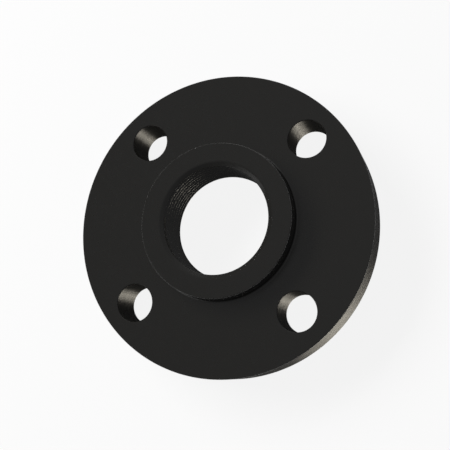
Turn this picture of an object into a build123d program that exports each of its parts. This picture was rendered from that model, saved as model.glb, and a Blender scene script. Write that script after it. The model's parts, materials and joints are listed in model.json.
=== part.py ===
from build123d import *
import math
import os

# Threaded pipe flange with a flat face, nominal pipe size 1 1/2, light pressure class.
# One forged steel piece, turned all over and drilled. Millimetres.
# The bore runs along Z. The sealing face lies on z = 0 and the hub stands up in +Z.

# Disc
disc_diameter = 127.0
disc_thickness = 15.9
rim_edge_break = 0.3

# Hub, with the slight forging draft of its side
overall_height = 22.2
hub_base_diameter = 65.1
hub_draft_angle = 3.0
hub_root_radius = 0.8
hub_nose_radius = 0.5

# Bore: the crests of the parallel pipe thread
thread_crest_diameter = 44.85
thread_depth = 1.475

# Wide countersink where the pipe enters, a little larger than the thread's roots
countersink_clearance = 0.4
countersink_included_angle = 120.0
countersink_lip_radius = 2.0

# Chamfer where the bore leaves through the sealing face
outlet_chamfer = 2.5

# Bolt holes, drilled straight through and straddling the two centre lines
bolt_hole_count = 4
bolt_hole_diameter = 15.9
bolt_hole_to_rim = 6.25
bolt_hole_edge_break = 0.3
first_bolt_angle = 45.0
bolt_circle_diameter = disc_diameter - bolt_hole_diameter - 2 * bolt_hole_to_rim
drill_overrun = 1.0


def hub_radius_at(height):
    """Radius of the drafted hub side at a height above the sealing face."""
    draft_run = (height - disc_thickness) * math.tan(math.radians(hub_draft_angle))
    return hub_base_diameter / 2 - draft_run


def corner(sketch, point):
    """The corner of a section sketch that lies nearest to a point given as radius and height."""
    target = Vector(point[0], point[1], 0)
    return sketch.vertices().sort_by_distance(target)[0]


def turned_body():
    """The disc and hub with the bore through them, turned from one half section."""
    crest_radius = thread_crest_diameter / 2
    countersink_width = thread_depth + countersink_clearance
    countersink_depth = countersink_width / math.tan(math.radians(countersink_included_angle / 2))

    bore_low = (crest_radius, outlet_chamfer)
    face_lip = (crest_radius + outlet_chamfer, 0)
    rim_low = (disc_diameter / 2, 0)
    rim_high = (disc_diameter / 2, disc_thickness)
    hub_root = (hub_radius_at(disc_thickness), disc_thickness)
    hub_nose = (hub_radius_at(overall_height), overall_height)
    mouth_lip = (crest_radius + countersink_width, overall_height)
    bore_high = (crest_radius, overall_height - countersink_depth)

    with BuildPart() as body:
        with BuildSketch(Plane.XZ) as half_section:
            with BuildLine():
                Polyline(
                    bore_low,
                    face_lip,
                    rim_low,
                    rim_high,
                    hub_root,
                    hub_nose,
                    mouth_lip,
                    bore_high,
                    close=True,
                )
            make_face()
            fillet(corner(half_section, hub_root), hub_root_radius)
            fillet(corner(half_section, hub_nose), hub_nose_radius)
            fillet(corner(half_section, mouth_lip), countersink_lip_radius)
            chamfer(corner(half_section, rim_low), rim_edge_break)
            chamfer(corner(half_section, rim_high), rim_edge_break)
        revolve(axis=Axis.Z)
    return body.part


def bolt_drill():
    """A straight drill as long as the disc, flared at both faces to break the hole's edges."""
    drill_radius = bolt_hole_diameter / 2
    flare_radius = drill_radius + bolt_hole_edge_break + drill_overrun

    with BuildPart() as drill:
        with BuildSketch(Plane.XZ):
            with BuildLine():
                Polyline(
                    (0, -drill_overrun),
                    (flare_radius, -drill_overrun),
                    (drill_radius, bolt_hole_edge_break),
                    (drill_radius, disc_thickness - bolt_hole_edge_break),
                    (flare_radius, disc_thickness + drill_overrun),
                    (0, disc_thickness + drill_overrun),
                    close=True,
                )
            make_face()
        revolve(axis=Axis.Z)
    return drill.part


def bolt_drills():
    """The drills set round the bolt circle."""
    places = PolarLocations(bolt_circle_diameter / 2, bolt_hole_count, start_angle=first_bolt_angle)
    return [place * bolt_drill() for place in places]


flange = turned_body() - bolt_drills()

os.makedirs("parts", exist_ok=True)
export_step(flange, "parts/flange.step")
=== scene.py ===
import json
import math

import bmesh
import bpy
from mathutils import Matrix, Vector


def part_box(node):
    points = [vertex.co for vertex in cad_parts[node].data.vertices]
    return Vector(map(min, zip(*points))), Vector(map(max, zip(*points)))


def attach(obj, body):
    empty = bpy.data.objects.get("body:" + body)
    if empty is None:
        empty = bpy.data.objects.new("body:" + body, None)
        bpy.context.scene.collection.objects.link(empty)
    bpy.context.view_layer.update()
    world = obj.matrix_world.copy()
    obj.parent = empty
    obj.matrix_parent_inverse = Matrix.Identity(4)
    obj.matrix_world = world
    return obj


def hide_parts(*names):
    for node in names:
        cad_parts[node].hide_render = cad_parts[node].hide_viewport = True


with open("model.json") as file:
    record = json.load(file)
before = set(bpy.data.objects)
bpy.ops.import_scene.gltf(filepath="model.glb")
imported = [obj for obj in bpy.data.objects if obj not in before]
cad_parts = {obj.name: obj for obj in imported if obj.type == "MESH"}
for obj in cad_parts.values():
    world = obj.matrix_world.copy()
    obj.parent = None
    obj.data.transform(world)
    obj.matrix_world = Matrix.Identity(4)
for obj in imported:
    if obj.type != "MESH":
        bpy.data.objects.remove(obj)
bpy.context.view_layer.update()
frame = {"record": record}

# The flange: one forged steel piece, turned all over on a lathe, with a short hub.
# The rough forging is faced, bored and countersunk, and its sharp edges are broken.
# Its section is drawn here corner by corner, each with the radius of its edge.
flange_low, flange_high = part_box("flange")
interfaces = {mount["name"]: mount for mount in frame["record"]["mounts"]}
rim_radius = (flange_high[0] - flange_low[0]) / 2
nose_height = flange_high[2]
disc_thickness = interfaces["nut_face"]["pos_m"][2]
crest_radius = interfaces["pipe_thread"]["dims"]["r_mm"] / 1000
hub_base_radius = 0.03255
hub_top_radius = 0.03222
countersink_width = 0.001875
countersink_depth = 0.00108
outlet_chamfer = 0.0025
outlet_round = 0.0002
edge_break = 0.0003
root_fillet = 0.0008
nose_round = 0.0005
lip_round = 0.002
turned_section = [
    # radius, height, radius of the edge
    (crest_radius, outlet_chamfer, outlet_round),
    (crest_radius + outlet_chamfer, 0, edge_break),
    (rim_radius, 0, edge_break),
    (rim_radius, disc_thickness, edge_break),
    (hub_base_radius, disc_thickness, root_fillet),
    (hub_top_radius, nose_height, nose_round),
    (crest_radius + countersink_width, nose_height, lip_round),
    (crest_radius, nose_height - countersink_depth, edge_break),
]
edge_steps = 4
around = 256


def rounded_corner(before, corner, after, radius):
    """Points along the arc that rounds one corner of a section."""
    corner = Vector(corner)
    to_before = (Vector(before) - corner).normalized()
    to_after = (Vector(after) - corner).normalized()
    half_angle = to_before.angle(to_after) / 2
    reach = radius / math.tan(half_angle)
    centre = corner + (to_before + to_after).normalized() * (radius / math.sin(half_angle))
    start = corner + to_before * reach - centre
    end = corner + to_after * reach - centre
    turn = start.angle_signed(end)
    arc = []
    for step in range(edge_steps + 1):
        arc.append(centre + Matrix.Rotation(-turn * step / edge_steps, 2) @ start)
    return arc


def rounded_section(corners):
    """The closed section with every corner rounded, as one list of points for each corner."""
    arcs = []
    for index, (radius, height, edge) in enumerate(corners):
        before = corners[index - 1][:2]
        after = corners[(index + 1) % len(corners)][:2]
        arcs.append(rounded_corner(before, (radius, height), after, edge))
    return arcs


def turned_ring(mesh, radius, height):
    """One ring of points round the bore's axis."""
    ring = []
    for step in range(around):
        angle = math.tau * step / around
        ring.append(mesh.verts.new((radius * math.cos(angle), radius * math.sin(angle), height)))
    return ring


def join_rings(mesh, first, second):
    """Faces between two closed rings that have as many points."""
    for step in range(len(first)):
        following = (step + 1) % len(first)
        mesh.faces.new((first[step], first[following], second[following], second[step]))


def turned_surface(mesh, points):
    """The rings of a stretch of the section, joined by faces."""
    rings = [turned_ring(mesh, point[0], point[1]) for point in points]
    for first, second in zip(rings, rings[1:]):
        join_rings(mesh, first, second)
    return rings


# The four bolt holes are drilled straight through the disc, clear of the hub, and deburred.
# Each takes one quarter of the disc: rings of faces spread from the hole to the quarter's edge.
bolt_count = interfaces["bolt_holes"]["dims"]["count"]
bolt_circle_radius = interfaces["bolt_holes"]["dims"]["pcd_mm"] / 2000
bolt_hole_radius = interfaces["bolt_holes"]["dims"]["hole_r_mm"] / 1000
deburr = 0.0003
drilled_from_radius = 0.0344
drilled_to_radius = bolt_circle_radius + bolt_hole_radius + 0.003
spoke_steps = 16
spread_steps = 7
spread_crowding = 1.5
wall_steps = 6


def hole_profile():
    """Radius and height down one bolt hole, from its upper edge to its lower one."""
    profile = []
    for step in range(edge_steps + 1):
        turn = math.pi / 2 * step / edge_steps
        profile.append((
            bolt_hole_radius + deburr * (1 - math.sin(turn)),
            disc_thickness - deburr * (1 - math.cos(turn)),
        ))
    wall_top = disc_thickness - deburr
    for step in range(1, wall_steps):
        profile.append((bolt_hole_radius, wall_top + (deburr - wall_top) * step / wall_steps))
    for step in range(edge_steps + 1):
        turn = math.pi / 2 * step / edge_steps
        profile.append((
            bolt_hole_radius + deburr * (1 - math.cos(turn)),
            deburr * (1 - math.sin(turn)),
        ))
    return profile


def spokes(mesh, height):
    """The straight edges between the quarters, each from the hub side to the rim side."""
    reach = drilled_to_radius - drilled_from_radius
    lines = []
    for quarter in range(bolt_count):
        angle = math.tau * quarter / bolt_count
        line = []
        for step in range(1, spoke_steps):
            radius = drilled_from_radius + reach * step / spoke_steps
            line.append(mesh.verts.new((radius * math.cos(angle), radius * math.sin(angle), height)))
        lines.append(line)
    return lines


def quarter_outline(inner_ring, outer_ring, spoke_lines, quarter):
    """The points round the edge of one quarter of the disc, in order."""
    span = around // bolt_count
    start = quarter * span
    inner = [inner_ring[(start + step) % around] for step in range(span + 1)]
    outer = [outer_ring[(start + step) % around] for step in range(span + 1)]
    near_spoke = spoke_lines[quarter]
    far_spoke = spoke_lines[(quarter + 1) % bolt_count]
    return inner + far_spoke + outer[::-1] + near_spoke[::-1]


def hole_ring(mesh, outline, centre, radius, height):
    """A ring round a hole's axis with one point towards each point of its quarter's outline."""
    ring = []
    for vert in outline:
        toward = Vector((vert.co.x - centre.x, vert.co.y - centre.y)).normalized() * radius
        ring.append(mesh.verts.new((centre.x + toward.x, centre.y + toward.y, height)))
    return ring


def drill_holes(mesh, lower_rings, upper_rings):
    """The disc's two faces with the bolt holes between them."""
    profile = hole_profile()
    lower_spokes = spokes(mesh, 0)
    upper_spokes = spokes(mesh, disc_thickness)
    for quarter in range(bolt_count):
        angle = math.tau * (quarter + 0.5) / bolt_count
        centre = Vector((math.cos(angle), math.sin(angle))) * bolt_circle_radius
        lower = quarter_outline(*lower_rings, lower_spokes, quarter)
        upper = quarter_outline(*upper_rings, upper_spokes, quarter)
        wall = [hole_ring(mesh, upper, centre, radius, height) for radius, height in profile]
        for first, second in zip(wall, wall[1:]):
            join_rings(mesh, first, second)
        for edge_ring, outline in ((wall[0], upper), (wall[-1], lower)):
            spread_face(mesh, edge_ring, outline)


def spread_face(mesh, edge_ring, outline):
    """Flat faces from a hole's edge out to the outline of its quarter."""
    previous = edge_ring
    for step in range(1, spread_steps):
        share = (step / spread_steps) ** spread_crowding
        ring = []
        for near, far in zip(edge_ring, outline):
            ring.append(mesh.verts.new(near.co.lerp(far.co, share)))
        join_rings(mesh, previous, ring)
        previous = ring
    join_rings(mesh, previous, outline)


def flange_blank():
    """The turned and drilled flange, before its thread is cut."""
    arcs = rounded_section(turned_section)
    outlet_edge, face_lip, rim_foot, rim_top, root, nose, mouth_lip, mouth_foot = arcs
    bore_side = [(drilled_from_radius, 0)] + face_lip[::-1] + outlet_edge[::-1]
    bore_side += mouth_foot[::-1] + mouth_lip[::-1] + nose[::-1] + root[::-1]
    bore_side += [(drilled_from_radius, disc_thickness)]
    rim_side = [(drilled_to_radius, disc_thickness)] + rim_top[::-1] + rim_foot[::-1]
    rim_side += [(drilled_to_radius, 0)]

    mesh = bmesh.new()
    bore_rings = turned_surface(mesh, bore_side)
    rim_rings = turned_surface(mesh, rim_side)
    drill_holes(mesh, (bore_rings[0], rim_rings[-1]), (bore_rings[-1], rim_rings[0]))
    bmesh.ops.recalc_face_normals(mesh, faces=mesh.faces)
    data = bpy.data.meshes.new("flange_body")
    mesh.to_mesh(data)
    mesh.free()
    return data


# The pipe thread: right-hand and parallel, 11 1/2 to the inch, with 60 degree flanks, cut by a tap.
# The tap is a closed screw, and what it takes out is the groove. It stops at the foot of the
# countersink, where the groove ends bluntly, and runs out below through the outlet's chamfer.
thread_pitch = 0.002209
thread_depth = 0.001475
flank_angle = math.radians(30)
crest_flat = 0.00018
crest_skim = 0.00002
thread_end_depth = 0.0009
thread_end_azimuth = math.radians(178)
tap_overrun = 0.003
tap_around = 240
crisp_angle = math.radians(29)
flat_face_weight = 60


def tap_tooth():
    """Radius and height along one pitch of the tap, from the middle of a crest to the next."""
    crest_top = crest_radius - crest_skim
    root_top = crest_top + thread_depth
    flank_foot = crest_flat / 2 + thread_depth * math.tan(flank_angle)
    return [
        (crest_top, 0),
        (crest_top, crest_flat / 2),
        (root_top, flank_foot),
        (root_top, thread_pitch / 2),
        (root_top, thread_pitch - flank_foot),
        (crest_top, thread_pitch - crest_flat / 2),
    ]


def thread_tap():
    """The closed screw that cuts the thread."""
    tooth = tap_tooth()
    top = nose_height - thread_end_depth
    turns = math.ceil((top + tap_overrun) / thread_pitch)
    mesh = bmesh.new()
    columns = []
    for column in range(tap_around):
        share = (column + 0.5) / tap_around
        angle = thread_end_azimuth + math.tau * share
        foot = top - thread_pitch * (turns + 1 - share)
        points = []
        for turn in range(turns):
            for radius, height in tooth:
                points.append(mesh.verts.new((
                    radius * math.cos(angle),
                    radius * math.sin(angle),
                    foot + turn * thread_pitch + height,
                )))
        points.append(mesh.verts.new((
            tooth[0][0] * math.cos(angle),
            tooth[0][0] * math.sin(angle),
            foot + turns * thread_pitch,
        )))
        columns.append(points)
    rows = len(columns[0])
    for column in range(tap_around - 1):
        for row in range(rows - 1):
            here, there = columns[column], columns[column + 1]
            mesh.faces.new((here[row], there[row], there[row + 1], here[row + 1]))
    last, first = columns[-1], columns[0]
    for row in range(rows - 1 - len(tooth)):
        lower, upper = row + len(tooth), row + len(tooth) + 1
        mesh.faces.new((last[row], first[lower], first[upper], last[row + 1]))

    foot_loop = [points[0] for points in columns] + first[len(tooth):0:-1]
    head_loop = [points[-1] for points in columns] + last[-2:rows - 2 - len(tooth):-1]
    for loop, level in ((foot_loop, -2 * tap_overrun), (head_loop, nose_height + tap_overrun)):
        middle = mesh.verts.new((0, 0, level))
        for step in range(len(loop)):
            mesh.faces.new((loop[step], loop[(step + 1) % len(loop)], middle))
    bmesh.ops.recalc_face_normals(mesh, faces=mesh.faces)
    data = bpy.data.meshes.new("thread_tap")
    mesh.to_mesh(data)
    mesh.free()
    return data


def finished_mesh(piece):
    """The piece's mesh with its modifiers carried out."""
    graph = bpy.context.evaluated_depsgraph_get()
    return bpy.data.meshes.new_from_object(
        piece.evaluated_get(graph), preserve_all_data_layers=True, depsgraph=graph
    )


def cut_thread(blank):
    """Takes the tap out of the blank and returns the threaded piece."""
    piece = bpy.data.objects.new("flange_body", blank)
    tap = bpy.data.objects.new("thread_tap", thread_tap())
    for placed in (piece, tap):
        bpy.context.scene.collection.objects.link(placed)
    cut = piece.modifiers.new("tapping", "BOOLEAN")
    cut.operation = "DIFFERENCE"
    cut.solver = "EXACT"
    cut.object = tap
    piece.data = finished_mesh(piece)
    piece.modifiers.clear()
    bpy.data.objects.remove(tap)
    return piece


def smooth_edges(piece):
    """Smooth shading across broken edges, with the flats kept flat and the thread kept crisp."""
    piece.data.shade_smooth()
    piece.data.set_sharp_from_angle(angle=crisp_angle)
    weighting = piece.modifiers.new("flat_faces", "WEIGHTED_NORMAL")
    weighting.keep_sharp = True
    weighting.weight = flat_face_weight
    piece.data = finished_mesh(piece)
    piece.modifiers.clear()


flange_body = cut_thread(flange_blank())
smooth_edges(flange_body)
flange_body.data.name = "flange_body"


# The finish: a thin satin black coating over the turned steel, the same all over.
# Fine rings from the lathe show through it faintly, with the soft mottle of the coating.
coating_black = (0.0062, 0.0058, 0.0047, 1)
coating_worn = (0.0092, 0.0086, 0.0070, 1)
coating_index = 2.42
satin_roughness = (0.24, 0.30)
mottle_scale = 260
mottle_detail = 5
mottle_span = (0.3, 0.7)
lathe_feed = 0.00022
tool_mark_strength = 0.05
tool_mark_height = 0.00002
grain_strength = 0.03
grain_height = 0.00004


def satin_black():
    """The coated and turned surface."""
    material = bpy.data.materials.new("satin_black_coating")
    material.use_nodes = True
    nodes, links = material.node_tree.nodes, material.node_tree.links
    shader = nodes["Principled BSDF"]
    shader.inputs["IOR"].default_value = coating_index

    place = nodes.new("ShaderNodeTexCoord")
    mottle = nodes.new("ShaderNodeTexNoise")
    mottle.inputs["Scale"].default_value = mottle_scale
    mottle.inputs["Detail"].default_value = mottle_detail
    links.new(place.outputs["Object"], mottle.inputs["Vector"])

    tone = nodes.new("ShaderNodeMix")
    tone.data_type = "RGBA"
    tone.inputs["A"].default_value = coating_black
    tone.inputs["B"].default_value = coating_worn
    links.new(mottle.outputs["Fac"], tone.inputs["Factor"])
    links.new(tone.outputs["Result"], shader.inputs["Base Color"])

    sheen = nodes.new("ShaderNodeMapRange")
    sheen.inputs["From Min"].default_value = mottle_span[0]
    sheen.inputs["From Max"].default_value = mottle_span[1]
    sheen.inputs["To Min"].default_value = satin_roughness[0]
    sheen.inputs["To Max"].default_value = satin_roughness[1]
    links.new(mottle.outputs["Fac"], sheen.inputs["Value"])
    links.new(sheen.outputs["Result"], shader.inputs["Roughness"])

    split = nodes.new("ShaderNodeSeparateXYZ")
    links.new(place.outputs["Object"], split.inputs["Vector"])
    across = nodes.new("ShaderNodeCombineXYZ")
    links.new(split.outputs["X"], across.inputs["X"])
    links.new(split.outputs["Y"], across.inputs["Y"])
    radius = nodes.new("ShaderNodeVectorMath")
    radius.operation = "LENGTH"
    links.new(across.outputs["Vector"], radius.inputs[0])
    path = nodes.new("ShaderNodeMath")
    path.operation = "ADD"
    links.new(radius.outputs["Value"], path.inputs[0])
    links.new(split.outputs["Z"], path.inputs[1])
    turns = nodes.new("ShaderNodeMath")
    turns.operation = "MULTIPLY"
    turns.inputs[1].default_value = math.tau / lathe_feed
    links.new(path.outputs["Value"], turns.inputs[0])
    ridges = nodes.new("ShaderNodeMath")
    ridges.operation = "SINE"
    links.new(turns.outputs["Value"], ridges.inputs[0])

    tool_marks = nodes.new("ShaderNodeBump")
    tool_marks.inputs["Strength"].default_value = tool_mark_strength
    tool_marks.inputs["Distance"].default_value = tool_mark_height
    links.new(ridges.outputs["Value"], tool_marks.inputs["Height"])
    grain = nodes.new("ShaderNodeBump")
    grain.inputs["Strength"].default_value = grain_strength
    grain.inputs["Distance"].default_value = grain_height
    links.new(mottle.outputs["Fac"], grain.inputs["Height"])
    links.new(tool_marks.outputs["Normal"], grain.inputs["Normal"])
    links.new(grain.outputs["Normal"], shader.inputs["Normal"])
    return material


flange_body.data.materials.clear()
flange_body.data.materials.append(satin_black())
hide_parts("flange")
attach(flange_body, "root")


# The floor: one pale sheet that the flange lies on, wide enough to fill the view.
# It keeps the flange's soft shadow. It reads as white to the camera, and in reflections
# outside a ring close to the flange; inside that ring its white is left out of reflections,
# a painted shadow round the flange.
floor_half_width = 1.5
floor_drop = 0.00005
floor_white = (0.9, 0.9, 0.9, 1)
floor_white_share = 0.88
painted_shadow_radius = 0.08
painted_shadow_fade_radius = 0.20


def pale_floor():
    """The floor's finish: a lit matt sheet mixed with plain white for seen rays, with a painted
    shadow ring round the flange in reflections.
    """
    material = bpy.data.materials.new("pale_floor")
    material.use_nodes = True
    nodes, links = material.node_tree.nodes, material.node_tree.links
    nodes.clear()
    matt = nodes.new("ShaderNodeBsdfDiffuse")
    matt.inputs["Color"].default_value = floor_white
    white = nodes.new("ShaderNodeEmission")
    white.inputs["Strength"].default_value = 1.0
    ray = nodes.new("ShaderNodeLightPath")

    # Painted shadow in reflections: the white fades out towards the flange inside this ring.
    place = nodes.new("ShaderNodeTexCoord")
    radius = nodes.new("ShaderNodeVectorMath")
    radius.operation = "LENGTH"
    links.new(place.outputs["Object"], radius.inputs[0])
    outside_painted_shadow = nodes.new("ShaderNodeMapRange")
    outside_painted_shadow.interpolation_type = "SMOOTHSTEP"
    outside_painted_shadow.inputs["From Min"].default_value = painted_shadow_radius
    outside_painted_shadow.inputs["From Max"].default_value = painted_shadow_fade_radius
    links.new(radius.outputs["Value"], outside_painted_shadow.inputs["Value"])
    mirrored = nodes.new("ShaderNodeMath")
    mirrored.operation = "MULTIPLY"
    links.new(ray.outputs["Is Glossy Ray"], mirrored.inputs[0])
    links.new(outside_painted_shadow.outputs["Result"], mirrored.inputs[1])

    direct = nodes.new("ShaderNodeMath")
    direct.operation = "MAXIMUM"
    links.new(ray.outputs["Is Camera Ray"], direct.inputs[0])
    links.new(ray.outputs["Is Transmission Ray"], direct.inputs[1])
    seen = nodes.new("ShaderNodeMath")
    seen.operation = "MAXIMUM"
    links.new(direct.outputs["Value"], seen.inputs[0])
    links.new(mirrored.outputs["Value"], seen.inputs[1])
    share = nodes.new("ShaderNodeMath")
    share.operation = "MULTIPLY"
    share.inputs[1].default_value = floor_white_share
    links.new(seen.outputs["Value"], share.inputs[0])

    mix = nodes.new("ShaderNodeMixShader")
    links.new(share.outputs["Value"], mix.inputs["Fac"])
    links.new(matt.outputs["BSDF"], mix.inputs[1])
    links.new(white.outputs["Emission"], mix.inputs[2])
    surface = nodes.new("ShaderNodeOutputMaterial")
    links.new(mix.outputs["Shader"], surface.inputs["Surface"])
    return material


def floor_sheet():
    """The flat sheet under the flange."""
    corners = [(-1, -1), (1, -1), (1, 1), (-1, 1)]
    data = bpy.data.meshes.new("floor")
    points = [(x * floor_half_width, y * floor_half_width, -floor_drop) for x, y in corners]
    data.from_pydata(points, [], [(0, 1, 2, 3)])
    data.materials.append(pale_floor())
    sheet = bpy.data.objects.new("floor", data)
    bpy.context.scene.collection.objects.link(sheet)
    return sheet


floor_sheet()


# The light: a dim room, brightest high on the far side, with large soft lamps round the flange.
# Two stand low on the far side, and a warm one shines up through the floor from the near side.
# A fourth, kept out of the gloss, fills the floor to the plain level, at which a colour
# renders about as it is written.
room_level = (0.05, 0.100)
bright_side = (-0.05, 0.45, 0.89)
bright_side_span = (0.28, 1.0)
daylight = (1, 1, 1)
warm_light = (1, 0.93, 0.79)


def soft_lamp(name, azimuth, elevation, distance, width, height, radiance, colour=daylight):
    """A flat soft lamp aimed at the flange, as bright to look at as its radiance says."""
    azimuth, elevation = math.radians(azimuth), math.radians(elevation)
    direction = Vector((
        math.cos(azimuth) * math.cos(elevation),
        math.sin(azimuth) * math.cos(elevation),
        math.sin(elevation),
    ))
    data = bpy.data.lights.new(name, "AREA")
    data.shape = "RECTANGLE"
    data.size = width
    data.size_y = height
    data.color = colour
    data.energy = radiance * math.pi * width * height
    lamp = bpy.data.objects.new(name, data)
    lamp.location = direction * distance
    lamp.rotation_euler = direction.to_track_quat("Z", "Y").to_euler()
    bpy.context.scene.collection.objects.link(lamp)
    return lamp


def dim_room():
    """The world: light that rises softly towards the brighter side, seen itself as plain white."""
    world = bpy.data.worlds.new("room")
    world.use_nodes = True
    nodes, links = world.node_tree.nodes, world.node_tree.links
    way = nodes.new("ShaderNodeTexCoord")
    facing = nodes.new("ShaderNodeVectorMath")
    facing.operation = "DOT_PRODUCT"
    facing.inputs[1].default_value = bright_side
    links.new(way.outputs["Generated"], facing.inputs[0])
    level = nodes.new("ShaderNodeMapRange")
    level.inputs["From Min"].default_value = bright_side_span[0]
    level.inputs["From Max"].default_value = bright_side_span[1]
    level.inputs["To Min"].default_value = room_level[0]
    level.inputs["To Max"].default_value = room_level[1]
    links.new(facing.outputs["Value"], level.inputs["Value"])
    nodes["Background"].inputs["Color"].default_value = (*daylight, 1)

    ray = nodes.new("ShaderNodeLightPath")
    seen = nodes.new("ShaderNodeMath")
    seen.operation = "MAXIMUM"
    links.new(ray.outputs["Is Camera Ray"], seen.inputs[0])
    links.new(ray.outputs["Is Transmission Ray"], seen.inputs[1])
    strength = nodes.new("ShaderNodeMath")
    strength.operation = "MAXIMUM"
    links.new(level.outputs["Result"], strength.inputs[0])
    links.new(seen.outputs["Value"], strength.inputs[1])
    links.new(strength.outputs["Value"], nodes["Background"].inputs["Strength"])
    return world


soft_lamp("right_lamp", azimuth=85, elevation=10, distance=1.5, width=1.2, height=0.6, radiance=0.33)
soft_lamp("left_lamp", azimuth=215, elevation=14, distance=1.5, width=1.2, height=0.8, radiance=0.30)

fill_lamp = soft_lamp(
    "fill_lamp", azimuth=152, elevation=30, distance=1.5, width=1.3, height=0.5, radiance=16.5
)
fill_lamp.visible_glossy = False

under_lamp = soft_lamp(
    "under_lamp",
    azimuth=-47, elevation=-69, distance=4.5, width=1.4, height=2.05, radiance=8.3, colour=warm_light,
)
shaded_by = bpy.data.collections.new("shades_under_lamp")
shaded_by.objects.link(flange_body)
under_lamp.light_linking.blocker_collection = shaded_by

bpy.context.scene.world = dim_room()


# The camera: it looks steeply down on the hub side, rolled so that +Y is up in the picture.
# Its place, aim and lens were found by fitting the flange's outline, holes and bore.
camera_place = Vector((0.09872, -0.05142, 0.28579))
camera_aim = Vector((0.00270, -0.00113, 0.01590))
camera_roll = math.radians(59.75)
camera_lens = 56.66
camera_sensor = 36
camera_clip = 0.01

forward = (camera_aim - camera_place).normalized()
level_right = forward.cross(Vector((0, 0, 1))).normalized()
level_up = level_right.cross(forward)
picture_up = level_up * math.cos(camera_roll) + level_right * math.sin(camera_roll)
picture_right = forward.cross(picture_up)
camera_data = bpy.data.cameras.new("camera")
camera_data.sensor_width = camera_sensor
camera_data.lens = camera_lens
camera_data.clip_start = camera_clip
camera = bpy.data.objects.new("camera", camera_data)
camera.matrix_world = Matrix((
    (picture_right.x, picture_up.x, -forward.x, camera_place.x),
    (picture_right.y, picture_up.y, -forward.y, camera_place.y),
    (picture_right.z, picture_up.z, -forward.z, camera_place.z),
    (0, 0, 0, 1),
))
bpy.context.scene.collection.objects.link(camera)
bpy.context.scene.camera = camera
bpy.context.scene.view_settings.view_transform = "Standard"
